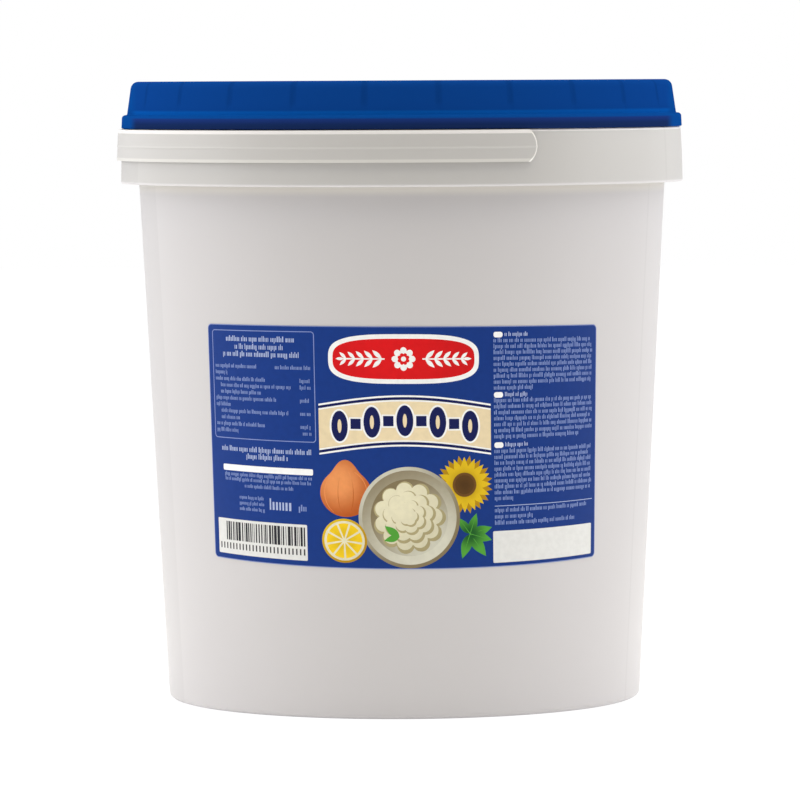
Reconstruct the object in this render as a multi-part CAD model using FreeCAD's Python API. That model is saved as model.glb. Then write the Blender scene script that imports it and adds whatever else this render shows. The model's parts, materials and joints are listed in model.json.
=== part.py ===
import FreeCAD, Part
import math
import os

# A ten-litre catering bucket of mayonnaise, shut: a tapered round tub with a skirted collar,
# a press-on lid, a strap handle that lies round the collar, and a label on the front of the wall.
# Frame: +Z up, origin at the centre of the plane that the foot stands on, label towards -Y.
# Lengths are in mm. An azimuth is in degrees about +Z, 0 at -Y and growing towards +X.

# Tub
FOOT_R = 107.62           # wall radius carried down to the standing plane
WALL_DRAFT = 3.0          # degrees the wall leans outwards
FOOT_EDGE_R = 2.5         # rounding where the wall turns into the foot
FOOT_RING_WIDTH = 9.0     # flat ring that the tub stands on
FOOT_RECESS = 2.5         # how far the base panel is raised inside that ring
FOOT_RECESS_RUN = 2.0     # horizontal run of the step between ring and panel
FOOT_RING_EDGE_R = 0.5
FOOT_PANEL_EDGE_R = 1.0

# Collar: a flange round the top of the tub with a thin skirt hanging from its edge
COLLAR_TOP_Z = 260.1
COLLAR_MID_Z = 248.0
COLLAR_BOTTOM_Z = 235.1
COLLAR_TOP_R = 127.3
COLLAR_MID_R = 127.95
COLLAR_BOTTOM_R = 128.25
COLLAR_BEND_R = 300.0     # the skirt's slight bend at its middle
COLLAR_EDGE_R = 1.2       # rounding of the collar's top edge
SKIRT_WALL = 1.6
FLANGE_THICK = 2.4
WALL_ROOT_R = 1.5         # rounding where the wall meets the flange
SKIRT_ROOT_R = 1.0        # rounding where the skirt meets the flange
SKIRT_LIP_R = 0.75        # rounding of the skirt's lower edge
GUSSET_COUNT = 16         # radial webs between wall and skirt
GUSSET_THICK = 1.4
GUSSET_LIFT = 4.0         # webs stop this far above the skirt's lower edge
GUSSET_BITE = 0.8         # how far the webs run into wall, skirt and flange

# Lid
LID_TOP_Z = 281.4
LID_LEDGE_Z = 266.2       # step between the wide lower band and the upper band
LID_BAND_R = 127.9        # lower band at its bottom edge
LID_BAND_TOP_R = 127.6
LID_CROWN_R = 125.3       # upper band just above the ledge
LID_CROWN_TOP_R = 123.1   # upper band carried up to the top plane
LID_LEDGE_EDGE_R = 1.6
LID_LEDGE_ROOT_R = 0.6    # hollow rounding where the upper band rises from the ledge
LID_TOP_EDGE_R = 3.6
LID_HEM_R = 0.4           # rounding of the lower band's bottom edge
LID_RIM_WIDTH = 11.0      # raised rim round the recessed panel
LID_RECESS = 6.5
LID_RECESS_RUN = 1.4
LID_INNER_EDGE_R = 1.8

# Strap handle, in its resting place round the collar
HANDLE_Z = 252.7          # height of the strap's middle and of its pivots
HANDLE_WIDTH = 14.1
HANDLE_TOP_IN_R = 128.3   # inner face at the strap's top edge
HANDLE_BOTTOM_IN_R = 128.9
HANDLE_THICK = 1.15
HANDLE_EDGE_R = 0.9       # rounding of the outer face's edges
HANDLE_IN_EDGE_R = 0.15   # the same at the inner face
RIDGE_WIDTH = 0.9         # fine ridge along the strap's outer face
RIDGE_TOP_WIDTH = 0.3
RIDGE_HEIGHT = 0.3
RIDGE_DROP = 0.5          # the ridge lies this far below the strap's middle
PIVOT_AZIMUTH = 23.35      # one pivot, the other is straight across
STRAP_END_R = 9.0         # rounding of the strap's ends about the pivots
STUD_R = 3.2
STUD_CLEARANCE = 0.06     # between stud and hole
STUD_HEAD_R = 4.0
STUD_HEAD_THICK = 1.3
STUD_HEAD_GAP = 0.4       # between the head and the skirt's inner face

# Label: a thin film on the wall, its lower edge bowed down in the middle and its left edge leaning
# with the wall. A corner is its place along the wall, 0 at the front and growing to +X, and its height.
LABEL_TOP_LEFT = (-97.3, 174.0)
LABEL_TOP_RIGHT = (96.6, 172.8)
LABEL_BOTTOM_RIGHT = (96.6, 68.8)
LABEL_BOTTOM_LEFT = (-95.0, 69.8)
LABEL_TOP_BOW = 0.5       # how far the top edge rises in the middle
LABEL_BOTTOM_BOW = 2.5    # how far the bottom edge hangs in the middle
LABEL_CORNER_R = 2.2
LABEL_THICK = 0.25
LABEL_REACH = 1.0         # how far the label's blanks run past its outline before trimming

SAME_POINT = 1e-6         # points closer than this are one point
STRAIGHT_BACK = 0.99      # an edge runs front to back if its direction's y is over this


def wall_r(z):
    """Outer radius of the tub's wall at height z."""
    return FOOT_R + z * math.tan(math.radians(WALL_DRAFT))


def skirt_r(z):
    """Outer radius of the skirt at height z, without its rounded edges."""
    if z > COLLAR_MID_Z:
        share = (z - COLLAR_MID_Z) / (COLLAR_TOP_Z - COLLAR_MID_Z)
        return COLLAR_MID_R + share * (COLLAR_TOP_R - COLLAR_MID_R)
    share = (z - COLLAR_BOTTOM_Z) / (COLLAR_MID_Z - COLLAR_BOTTOM_Z)
    return COLLAR_BOTTOM_R + share * (COLLAR_MID_R - COLLAR_BOTTOM_R)


def outward(azimuth):
    """Horizontal unit vector that points away from the axis at an azimuth."""
    turn = math.radians(azimuth)
    return FreeCAD.Vector(math.sin(turn), -math.cos(turn), 0)


def rounded_face(corners, place):
    """Flat face inside a closed outline of (a, b, rounding) corners, each put in space by place."""
    def unit(start, end):
        run = math.hypot(end[0] - start[0], end[1] - start[1])
        return ((end[0] - start[0]) / run, (end[1] - start[1]) / run)

    edges = []
    starts = []
    ends = []
    middles = []
    count = len(corners)
    for i, (a, b, radius) in enumerate(corners):
        back = unit((a, b), corners[i - 1])
        ahead = unit((a, b), corners[(i + 1) % count])
        half = math.acos(max(-1.0, min(1.0, back[0] * ahead[0] + back[1] * ahead[1]))) / 2
        if radius == 0:
            starts.append((a, b))
            ends.append((a, b))
            middles.append(None)
            continue
        tangent = radius / math.tan(half)
        starts.append((a + back[0] * tangent, b + back[1] * tangent))
        ends.append((a + ahead[0] * tangent, b + ahead[1] * tangent))
        inward = unit((0, 0), (back[0] + ahead[0], back[1] + ahead[1]))
        depth = radius / math.sin(half) - radius
        middles.append((a + inward[0] * depth, b + inward[1] * depth))
    for i in range(count):
        if middles[i] is not None:
            edges.append(Part.Arc(place(starts[i]), place(middles[i]), place(ends[i])).toShape())
        following = starts[(i + 1) % count]
        if math.dist(ends[i], following) > SAME_POINT:
            edges.append(Part.makeLine(place(ends[i]), place(following)))
    return Part.Face(Part.Wire(edges))


def turned(corners, start=0.0, sweep=360.0):
    """Solid of revolution of an (r, z, rounding) outline, from one azimuth on through a sweep."""
    direction = outward(start)

    def place(point):
        return direction * point[0] + FreeCAD.Vector(0, 0, point[1])

    return rounded_face(corners, place).revolve(FreeCAD.Vector(), FreeCAD.Vector(0, 0, 1), sweep)


def gusset(azimuth):
    """One radial web under the flange, between the wall and the skirt."""
    bottom = COLLAR_BOTTOM_Z + GUSSET_LIFT
    top = COLLAR_TOP_Z - FLANGE_THICK + GUSSET_BITE
    side = outward(azimuth + 90)
    corners = [
        (wall_r(bottom) - GUSSET_BITE, bottom, 0),
        (skirt_r(bottom) - SKIRT_WALL + GUSSET_BITE, bottom, 0),
        (skirt_r(top) - SKIRT_WALL + GUSSET_BITE, top, 0),
        (wall_r(top) - GUSSET_BITE, top, 0),
    ]

    def place(point):
        return outward(azimuth) * point[0] + FreeCAD.Vector(0, 0, point[1]) - side * GUSSET_THICK / 2

    return rounded_face(corners, place).extrude(side * GUSSET_THICK)


def on_pivot_axis(radius, near, far):
    """Round bar on the handle's pivot axis, between two distances from the tub's axis."""
    direction = outward(PIVOT_AZIMUTH)
    start = direction * near + FreeCAD.Vector(0, 0, HANDLE_Z)
    return Part.makeCylinder(radius, far - near, start, direction)


def at_both_pivots(shape):
    """The shape at one pivot and its copy at the other."""
    other = shape.copy()
    other.rotate(FreeCAD.Vector(), FreeCAD.Vector(0, 0, 1), 180)
    return [shape, other]


def make_tub():
    """Tub with its contents: one closed body, the collar's skirt standing clear of the wall."""
    under_flange = COLLAR_TOP_Z - FLANGE_THICK
    ring_in_r = FOOT_R - FOOT_RING_WIDTH
    tub = turned([
        (0, FOOT_RECESS, 0),
        (ring_in_r - FOOT_RECESS_RUN, FOOT_RECESS, FOOT_PANEL_EDGE_R),
        (ring_in_r, 0, FOOT_RING_EDGE_R),
        (FOOT_R, 0, FOOT_EDGE_R),
        (wall_r(under_flange), under_flange, WALL_ROOT_R),
        (skirt_r(under_flange) - SKIRT_WALL, under_flange, SKIRT_ROOT_R),
        (COLLAR_MID_R - SKIRT_WALL, COLLAR_MID_Z, COLLAR_BEND_R),
        (COLLAR_BOTTOM_R - SKIRT_WALL, COLLAR_BOTTOM_Z, SKIRT_LIP_R),
        (COLLAR_BOTTOM_R, COLLAR_BOTTOM_Z, SKIRT_LIP_R),
        (COLLAR_MID_R, COLLAR_MID_Z, COLLAR_BEND_R),
        (COLLAR_TOP_R, COLLAR_TOP_Z, COLLAR_EDGE_R),
        (0, COLLAR_TOP_Z, 0),
    ])
    pitch = 360 / GUSSET_COUNT
    first = PIVOT_AZIMUTH + pitch / 2     # the webs straddle the pivots
    tub = tub.fuse([gusset(first + i * pitch) for i in range(GUSSET_COUNT)])
    past_skirt = COLLAR_BOTTOM_R + SKIRT_WALL
    behind_skirt = COLLAR_TOP_R - 2 * SKIRT_WALL
    hole = on_pivot_axis(STUD_R + STUD_CLEARANCE, behind_skirt, past_skirt)
    return tub.cut(at_both_pivots(hole)).removeSplitter()


def make_lid():
    """Shut lid: wide lower band, narrower crown with a raised rim, and a recessed panel."""
    rim_in_r = LID_CROWN_TOP_R - LID_RIM_WIDTH
    return turned([
        (0, COLLAR_TOP_Z, 0),
        (LID_BAND_R, COLLAR_TOP_Z, LID_HEM_R),
        (LID_BAND_TOP_R, LID_LEDGE_Z, LID_LEDGE_EDGE_R),
        (LID_CROWN_R, LID_LEDGE_Z, LID_LEDGE_ROOT_R),
        (LID_CROWN_TOP_R, LID_TOP_Z, LID_TOP_EDGE_R),
        (rim_in_r, LID_TOP_Z, LID_INNER_EDGE_R),
        (rim_in_r - LID_RECESS_RUN, LID_TOP_Z - LID_RECESS, LID_INNER_EDGE_R),
        (0, LID_TOP_Z - LID_RECESS, 0),
    ])


def make_handle():
    """Strap handle: a half ring with rounded ends, and a snap stud inside each end."""
    top = HANDLE_Z + HANDLE_WIDTH / 2
    bottom = HANDLE_Z - HANDLE_WIDTH / 2
    middle_out_r = (HANDLE_TOP_IN_R + HANDLE_BOTTOM_IN_R) / 2 + HANDLE_THICK
    ridge_z = HANDLE_Z - RIDGE_DROP
    section = [
        (HANDLE_BOTTOM_IN_R, bottom, HANDLE_IN_EDGE_R),
        (HANDLE_BOTTOM_IN_R + HANDLE_THICK, bottom, HANDLE_EDGE_R),
        (middle_out_r, ridge_z - RIDGE_WIDTH / 2, 0),
        (middle_out_r + RIDGE_HEIGHT, ridge_z - RIDGE_TOP_WIDTH / 2, 0),
        (middle_out_r + RIDGE_HEIGHT, ridge_z + RIDGE_TOP_WIDTH / 2, 0),
        (middle_out_r, ridge_z + RIDGE_WIDTH / 2, 0),
        (HANDLE_TOP_IN_R + HANDLE_THICK, top, HANDLE_EDGE_R),
        (HANDLE_TOP_IN_R, top, HANDLE_IN_EDGE_R),
    ]
    half_ring = turned(section, PIVOT_AZIMUTH - 180, 180)
    far_half = turned(section, PIVOT_AZIMUTH, 180)
    past_strap = HANDLE_BOTTOM_IN_R + STRAP_END_R
    ends = far_half.common(on_pivot_axis(STRAP_END_R, -past_strap, past_strap))
    skirt_in_r = skirt_r(HANDLE_Z) - SKIRT_WALL
    head_out = skirt_in_r - STUD_HEAD_GAP
    stud = on_pivot_axis(STUD_R, head_out - STUD_HEAD_THICK, HANDLE_TOP_IN_R + HANDLE_THICK / 2)
    head = on_pivot_axis(STUD_HEAD_R, head_out - STUD_HEAD_THICK, head_out)
    return half_ring.fuse([ends] + at_both_pivots(stud.fuse(head))).removeSplitter()


def make_label():
    """Label film: the part of a thin conical shell that lies behind the label's outline."""
    low = min(LABEL_BOTTOM_LEFT[1], LABEL_BOTTOM_RIGHT[1]) - LABEL_BOTTOM_BOW - LABEL_REACH
    high = max(LABEL_TOP_LEFT[1], LABEL_TOP_RIGHT[1]) + LABEL_TOP_BOW + LABEL_REACH
    shell = turned([
        (wall_r(low), low, 0),
        (wall_r(low) + LABEL_THICK, low, 0),
        (wall_r(high) + LABEL_THICK, high, 0),
        (wall_r(high), high, 0),
    ], -90, 180)

    def seen_from_front(corner):
        """Corner of the label pushed straight back onto the plane through the tub's axis."""
        along, z = corner
        return FreeCAD.Vector(wall_r(z) * math.sin(along / wall_r(z)), 0, z)

    def bowed(start, end, bow):
        middle = (start + end) / 2 + FreeCAD.Vector(0, 0, bow)
        return Part.Arc(start, middle, end).toShape()

    top_left = seen_from_front(LABEL_TOP_LEFT)
    top_right = seen_from_front(LABEL_TOP_RIGHT)
    bottom_right = seen_from_front(LABEL_BOTTOM_RIGHT)
    bottom_left = seen_from_front(LABEL_BOTTOM_LEFT)
    wire = Part.Wire([
        bowed(top_left, top_right, LABEL_TOP_BOW),
        Part.makeLine(top_right, bottom_right),
        bowed(bottom_right, bottom_left, -LABEL_BOTTOM_BOW),
        Part.makeLine(bottom_left, top_left),
    ])
    prism = Part.Face(wire).extrude(FreeCAD.Vector(0, -wall_r(high) - LABEL_REACH, 0))
    corners = [edge for edge in prism.Edges if abs(edge.tangentAt(edge.FirstParameter).y) > STRAIGHT_BACK]
    prism = prism.makeFillet(LABEL_CORNER_R, corners)
    return shell.common(prism)


def main():
    """Write every node's STEP file."""
    os.makedirs("parts", exist_ok=True)
    nodes = {
        "tub": make_tub(),
        "lid": make_lid(),
        "label": make_label(),
        "handle": make_handle(),
    }
    for name, shape in nodes.items():
        solid = shape.Solids[0]
        volume = round(solid.Volume / 1000, 2)
        print(name, "solids", len(shape.Solids), "valid", shape.isValid(), "cm3", volume)
        solid.exportStep(f"parts/{name}.step")


main()
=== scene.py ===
import json
import math
import random

import bmesh
import bpy
from bpy.props import FloatProperty, FloatVectorProperty, IntProperty, PointerProperty
from mathutils import Matrix, Vector
from mathutils.geometry import delaunay_2d_cdt


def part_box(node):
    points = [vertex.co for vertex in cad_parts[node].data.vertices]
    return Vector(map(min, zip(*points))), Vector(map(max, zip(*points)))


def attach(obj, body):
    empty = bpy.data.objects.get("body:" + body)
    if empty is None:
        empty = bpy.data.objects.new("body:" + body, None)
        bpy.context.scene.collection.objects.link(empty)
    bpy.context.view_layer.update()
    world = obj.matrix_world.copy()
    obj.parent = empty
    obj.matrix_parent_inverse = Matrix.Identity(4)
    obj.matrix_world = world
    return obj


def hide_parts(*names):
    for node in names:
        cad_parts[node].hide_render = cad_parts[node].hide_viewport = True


bl_info = {
    "name": "Catering Bucket",
    "version": (1, 0, 0),
    "blender": (4, 5, 0),
    "location": "3D View > Sidebar > Bucket",
    "description": "A shut ten-litre catering bucket with its lid, strap handle and printed label",
    "category": "Add Mesh",
}

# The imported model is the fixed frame: its boxes and its joint give the driving sizes and places.
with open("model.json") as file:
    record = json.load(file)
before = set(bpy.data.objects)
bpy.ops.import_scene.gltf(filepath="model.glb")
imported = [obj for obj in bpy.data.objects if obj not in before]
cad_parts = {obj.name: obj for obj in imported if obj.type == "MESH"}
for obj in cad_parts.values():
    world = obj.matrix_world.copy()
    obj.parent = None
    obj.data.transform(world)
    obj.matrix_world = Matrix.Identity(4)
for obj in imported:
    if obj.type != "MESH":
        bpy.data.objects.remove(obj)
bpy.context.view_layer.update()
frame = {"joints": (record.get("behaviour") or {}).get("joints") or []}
TUB_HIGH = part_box("tub")[1]
LID_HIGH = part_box("lid")[1]
SWING = frame["joints"][0]

MM = 0.001
SHARP_ANGLE = math.radians(35)      # edges that turn further stay sharp in the shading
ARC_STEP = math.radians(12)         # turn of one step along a rounding
SMALLEST = 1e-7
WHITE_FINISH = (0.36, 0.5)          # roughness and gloss of the white mouldings
BLUE_FINISH = (0.5, 0.0)            # and of the blue lid
UP = Vector((0, 0, 1))
BLACK = (0.0, 0.0, 0.0)
WHITE = (1.0, 1.0, 1.0)

# The artwork is drawn flat in mm: this far to both sides of its middle, and this high from its foot.
PRINT_HALF = 96.0
PRINT_FOOT = 65.4
PRINT_HEIGHT = 106.9
PRINT_TOP = PRINT_FOOT + PRINT_HEIGHT
LABEL_GRID = 3.0                    # pitch of the upright lines that let the print bend round the wall
PANEL_SPLIT = 13 * LABEL_GRID       # where the label's front panel meets its side panels
TICK_SEED = 11                      # start of the draws that vary the rows of ticks and the bars

# Middles of the things in the kitchen picture
DISH = (2.0, 88.2)
ONION = (-26.0, 98.6)
LEMON = (-27.0, 77.6)
FLOWER = (26.6, 102.4)
SPRIG = (28.9, 80.6)


# Settings

def length(name, description, default):
    """A length in metres."""
    return FloatProperty(name=name, description=description, default=default, precision=5,
                         subtype="DISTANCE", unit="LENGTH")


def corner(name, description, along, height):
    """A corner of the label in metres: its place along the wall, 0 at the front, and its height."""
    return FloatVectorProperty(name=name, description=description, default=(along, height), size=2,
                               precision=5, unit="LENGTH")


def angle(name, description, degrees):
    """An angle, written here in degrees."""
    return FloatProperty(name=name, description=description, default=math.radians(degrees),
                         subtype="ANGLE", unit="ROTATION")


def level(name, description, default):
    """A plain number such as a light level or a share."""
    return FloatProperty(name=name, description=description, default=default, min=0.0, precision=3)


def linear(red, green, blue):
    """Scene colour of a display colour, whose channels run from 0 to 255."""
    def channel(value):
        value /= 255
        return value / 12.92 if value <= 0.04045 else ((value + 0.055) / 1.055) ** 2.4
    return (channel(red), channel(green), channel(blue))


def colour(name, description, red, green, blue):
    """A colour, written here in display channels from 0 to 255."""
    return FloatVectorProperty(name=name, description=description, default=linear(red, green, blue),
                               min=0.0, max=1.0, size=3, subtype="COLOR")


class TubSizes(bpy.types.PropertyGroup):
    """Sizes of the tub, its foot and its collar."""
    foot_radius: length("Foot radius", "Wall radius carried down to the floor", 0.10762)
    draft: angle("Wall draft", "How far the wall leans outwards", 3.0)
    foot_edge: length("Foot edge", "Rounding where the wall turns into the foot", 0.0025)
    ring_width: length("Foot ring", "Width of the ring that the tub stands on", 0.009)
    recess: length("Base recess", "Height of the base panel inside the ring", 0.0025)
    collar_top: length("Collar top", "Height of the collar's flange", TUB_HIGH.z)
    collar_middle: length("Collar middle", "Height of the skirt's slight bend", 0.248)
    collar_bottom: length("Collar bottom", "Height of the skirt's lower edge", 0.2351)
    top_radius: length("Top radius", "Skirt radius at its top", 0.1273)
    middle_radius: length("Middle radius", "Skirt radius at its bend", 0.12795)
    bottom_radius: length("Bottom radius", "Skirt radius at its lower edge", TUB_HIGH.x)
    flange: length("Flange", "Thickness of the flange that carries the skirt", 0.0024)
    skirt: length("Skirt", "Thickness of the skirt", 0.0016)
    webs: IntProperty(name="Webs", description="Radial webs between wall and skirt", default=16)


class LidSizes(bpy.types.PropertyGroup):
    """Sizes of the lid."""
    top: length("Top", "Height of the raised rim", LID_HIGH.z)
    ledge: length("Ledge", "Height of the step between the two bands", 0.2662)
    band_radius: length("Band radius", "Lower band at its bottom edge", LID_HIGH.x)
    band_top_radius: length("Band top radius", "Lower band at the ledge", 0.1276)
    crown_radius: length("Crown radius", "Upper band just above the ledge", 0.1253)
    crown_top_radius: length("Crown top radius", "Upper band at the top plane", 0.1231)
    rim_width: length("Rim width", "Raised rim round the recessed panel", 0.011)
    recess: length("Recess", "Depth of the panel under the rim", 0.0065)
    marks: IntProperty(name="Rib marks", description="Shallow marks of the ribs inside", default=24)
    mark_depth: length("Mark depth", "Depth of a rib mark", 0.00012)


class StrapSizes(bpy.types.PropertyGroup):
    """Sizes of the strap handle, in its resting place round the collar."""
    width: length("Width", "Height of the strap", 0.0141)
    thickness: length("Thickness", "Thickness of the strap", 0.00115)
    top_radius: length("Top inner radius", "Inner face at the strap's top edge", 0.1283)
    bottom_radius: length("Bottom inner radius", "Inner face at the lower edge", 0.1289)
    edge: length("Edge rounding", "Rounding of the outer face's edges", 0.0009)
    end_radius: length("End radius", "Rounding of the ends about the pivots", 0.009)
    ridge: length("Ridge", "Height of the fine ridge along the strap", 0.00015)
    ridge_drop: length("Ridge drop", "How far the ridge lies below the strap's middle", 0.0005)
    stud_radius: length("Stud radius", "Snap stud through the skirt", 0.0032)
    head_radius: length("Stud head radius", "Head behind the skirt", 0.004)
    head_thickness: length("Stud head", "Thickness of the stud's head", 0.0013)


class LabelSizes(bpy.types.PropertyGroup):
    """Sizes of the label, measured on the wall."""
    top_left: corner("Top left", "Top left corner", -0.0973, 0.1740)
    top_right: corner("Top right", "Top right corner", 0.0966, 0.1728)
    bottom_right: corner("Bottom right", "Bottom right corner", 0.0966, 0.0688)
    bottom_left: corner("Bottom left", "Bottom left corner", -0.0950, 0.0698)
    top_bow: length("Top bow", "How far the top edge rises in the middle", 0.0005)
    bottom_bow: length("Bottom bow", "How far the bottom edge hangs in the middle", 0.0025)
    rounding: length("Corner rounding", "Rounding of the corners", 0.0022)
    thickness: length("Thickness", "Height of the film's face above the wall", 0.0002)


class PlasticColours(bpy.types.PropertyGroup):
    """Colours of the moulded parts: the tub's and the lid's own colours, and whites and blues of
    painted shade and painted highlights.
    """
    tub: colour("Tub", "White of the tub's wall", 202, 199, 201)
    # Painted light: a lighter white for the wall just under the collar, standing for light that
    # reaches under the lip
    under_lip_light: colour("Under the lip", "White of the wall just under the collar", 223, 219, 214)
    # Painted highlight: a lighter white for the skirt's rounded lower edge, standing for the light it
    # catches from the floor
    lip: colour("Lip", "White of the skirt's lower edge", 216, 213, 216)
    # Painted shade: the collar's white is darker than the wall's, standing for the lesser light that
    # reaches it
    collar: colour("Collar", "White of the collar", 193, 191, 190)
    # Painted shade: the strap's face takes the collar's darker white, standing for the lesser light
    # that reaches this height
    handle: colour("Handle", "White of the strap", 193, 191, 190)
    # Painted highlight: a lighter line along the strap's fine ridge
    ridge: colour("Ridge", "White of the strap's fine ridge", 201, 199, 198)
    # Painted highlight: a lighter white along the rounded top edges of the collar and the strap
    rim: colour("Rim", "White of the rounded top edges of collar and strap", 234, 231, 231)
    # Painted highlight on the strap's rounded edges
    strap_edge_highlight: colour("Strap edge", "White of the strap's rounded edges", 228, 225, 222)
    # Painted highlight: the lightest white, on the strap's lower rounded edge, where it catches light
    # from the floor
    strap_under_highlight: colour("Under edge", "White of the strap's lower rounded edge", 250, 248, 246)
    # Painted highlight: a lighter white on the strap's face along its lower edge
    strap_hem_highlight: colour("Strap hem", "White of the strap's face along its lower edge", 212, 210, 207)
    lid: colour("Lid", "Blue of the lid", 12, 62, 137)
    # Painted highlight: a brighter blue where the crown rises from the ledge
    lid_root_highlight: colour("Lid root", "Blue where the crown rises from the ledge", 8, 80, 164)
    # Painted light: a brighter blue on the ledge as a highlight, and towards the lid's sides as side
    # light
    lid_ledge_and_side_light: colour("Lid ledge", "Blue of the lid's ledge", 10, 68, 143)
    # Painted shade: a darker blue on the lid's lower band
    lid_band_shade: colour("Lid band", "Blue of the lid's lower band", 28, 51, 116)
    # Painted shade: the darkest blue, at the lid's lower edge
    lid_hem_shade: colour("Lid hem", "Blue at the lid's lower edge", 23, 42, 88)


class PrintColours(bpy.types.PropertyGroup):
    """Inks of the label."""
    ground: colour("Ground", "Blue ground", 18, 55, 132)
    outline: colour("Outline", "Pale line round the label and its boxes", 132, 147, 200)
    text: colour("Headings", "Pale marks of the larger print", 172, 184, 218)
    faint: colour("Fine print", "Marks of the fine print", 128, 146, 196)
    white: colour("White", "White edges and tags", 246, 246, 247)
    panel: colour("Panel", "White panels", 224, 224, 223)
    cream: colour("Cream", "Band across the middle", 238, 219, 181)
    navy: colour("Navy", "Dark lines and the frieze", 18, 26, 84)
    red: colour("Red", "Plaque", 222, 20, 26)
    bars: colour("Bars", "Dark bars", 44, 44, 50)
    sauce: colour("Sauce", "Cream rosette", 232, 226, 196)
    sauce_shade: colour("Sauce shade", "Folds of the rosette", 184, 172, 128)
    dish: colour("Dish", "Pale side of the dish", 204, 202, 186)
    dish_shade: colour("Dish shade", "Shaded side of the dish", 132, 118, 88)
    orange: colour("Onion", "Light side of the onion", 236, 152, 92)
    orange_shade: colour("Onion shade", "Shaded side of the onion", 186, 90, 34)
    gold: colour("Gold", "Petals and peel", 222, 186, 30)
    gold_shade: colour("Gold shade", "Shaded petals", 180, 136, 14)
    seed: colour("Seeds", "Middle of the flower", 92, 62, 26)
    leaf: colour("Leaf", "Light side of a leaf", 82, 160, 58)
    leaf_shade: colour("Leaf shade", "Shaded side of a leaf", 30, 92, 36)


class StudioSettings(bpy.types.PropertyGroup):
    """Camera, lamps and surroundings."""
    lens: FloatProperty(name="Lens", description="Focal length in mm", default=259.0, unit="CAMERA")
    distance: length("Distance", "Camera's distance in front of the axis", 2.633)
    height: length("Height", "Camera's height", 0.28145)
    tilt: angle("Tilt", "How far the camera looks down", 3.18)
    roll: angle("Roll", "How far the camera is rolled", -0.30)
    turn: angle("Turn", "How far the camera is turned to the left", 0.030)
    front: level("Front", "Brightness of the surroundings behind the camera", 0.065)
    front_left: level("Front left", "Brightness between the front and the left side", 0.44)
    front_right: level("Front right", "Brightness between the front and the right side", 0.10)
    side: level("Sides", "Brightness of the surroundings to the sides", 2.4)
    back_left: level("Back left", "Brightness between the left side and the backdrop", 1.9)
    back_right: level("Back right", "Brightness between the right side and the backdrop", 1.65)
    back: level("Back", "Brightness of the backdrop", 0.8)
    top: level("Top", "Brightness overhead", 1.25)
    key_power: level("Key power", "Watts of the softbox overhead", 9.6)
    key_colour: colour("Key colour", "Warm tone of the softbox", 255, 242, 198)
    key_size: length("Key size", "Side of the softbox", 1.5)
    key_height: length("Key height", "Height of the softbox", 1.6)
    key_forward: length("Key forward", "How far the softbox stands to the front", 0.35)
    floor_size: length("Floor size", "Side of the floor", 12.0)
    floor_glow: level("Floor glow", "Light that the floor sends up near the object", 0.28)
    glow_reach: length("Glow reach", "Distance over which that light fades", 0.5)
    floor_white: level("Floor white", "Brightness of the floor's plain white to the camera", 1.06)
    shadow: level("Shadow", "Share of the floor's own shading that the camera sees", 0.18)


# Shader graphs

class Shade:
    """A node's output, with Python's operators standing for Math nodes."""

    def __init__(self, graph, socket):
        self.graph = graph
        self.socket = socket

    def math(self, operation, *values):
        return self.graph.add("ShaderNodeMath", {"operation": operation}, dict(enumerate(values)))

    def __add__(self, other):
        return self.math("ADD", self, other)

    def __radd__(self, other):
        return self.math("ADD", other, self)

    def __sub__(self, other):
        return self.math("SUBTRACT", self, other)

    def __rsub__(self, other):
        return self.math("SUBTRACT", other, self)

    def __mul__(self, other):
        return self.math("MULTIPLY", self, other)

    def __rmul__(self, other):
        return self.math("MULTIPLY", other, self)

    def __truediv__(self, other):
        return self.math("DIVIDE", self, other)

    def output(self, name):
        """Another output of the same node."""
        return Shade(self.graph, self.socket.node.outputs[name])

    def ramp(self, low, high):
        """0 below low, 1 above high and smooth between them."""
        settings = {"interpolation_type": "SMOOTHSTEP", "clamp": True}
        inputs = {"Value": self, "From Min": low, "From Max": high}
        return self.graph.add("ShaderNodeMapRange", settings, inputs)


class Graph:
    """The node tree of a material or of the world."""

    def __init__(self, owner):
        owner.use_nodes = True
        self.tree = owner.node_tree
        self.tree.nodes.clear()

    def add(self, kind, settings=None, inputs=None, output=0):
        """Adds a node: first its settings, then the values or links of its sockets."""
        node = self.tree.nodes.new(kind)
        for key, value in (settings or {}).items():
            setattr(node, key, value)
        for key, value in (inputs or {}).items():
            if isinstance(value, Shade):
                self.tree.links.new(value.socket, node.inputs[key])
            elif isinstance(value, (tuple, list)) and node.inputs[key].type == "RGBA":
                node.inputs[key].default_value = (*value[:3], 1.0)
            else:
                node.inputs[key].default_value = value
        return Shade(self, node.outputs[output]) if node.outputs else node

    def blend(self, first, second, share):
        """Colour between two colours, by the Mix node's colour sockets."""
        factor, colour_a, colour_b, colour_result = 0, 6, 7, 2
        inputs = {factor: share, colour_a: first, colour_b: second}
        return self.add("ShaderNodeMix", {"data_type": "RGBA"}, inputs, colour_result)

    def noise(self, place, scale, detail):
        """Even noise from about 0.3 to 0.7, with its features per unit of place as its scale."""
        inputs = {"Vector": place, "Scale": scale, "Detail": detail, "Roughness": 0.5}
        return self.add("ShaderNodeTexNoise", {}, inputs)

    def finish(self, tone, value, roughness, gloss, relief, depth):
        """Ends a material: its colour at a value, its roughness and gloss, and a fine relief that
        goes from 0 to 1 over a depth."""
        coloured = self.add("ShaderNodeHueSaturation", {}, {"Value": value, "Color": tone})
        inputs = {"Strength": 0.3, "Distance": depth, "Height": relief}
        bumped = self.add("ShaderNodeBump", {}, inputs)
        shader = self.add("ShaderNodeBsdfPrincipled", {}, {
            "Base Color": coloured,
            "Roughness": roughness,
            "Specular IOR Level": gloss,
            "Normal": bumped,
        })
        self.add("ShaderNodeOutputMaterial", {}, {"Surface": shader})


def scaled(tone, share):
    """A colour with each channel scaled by a share."""
    return tuple(channel * share for channel in tone)


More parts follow.
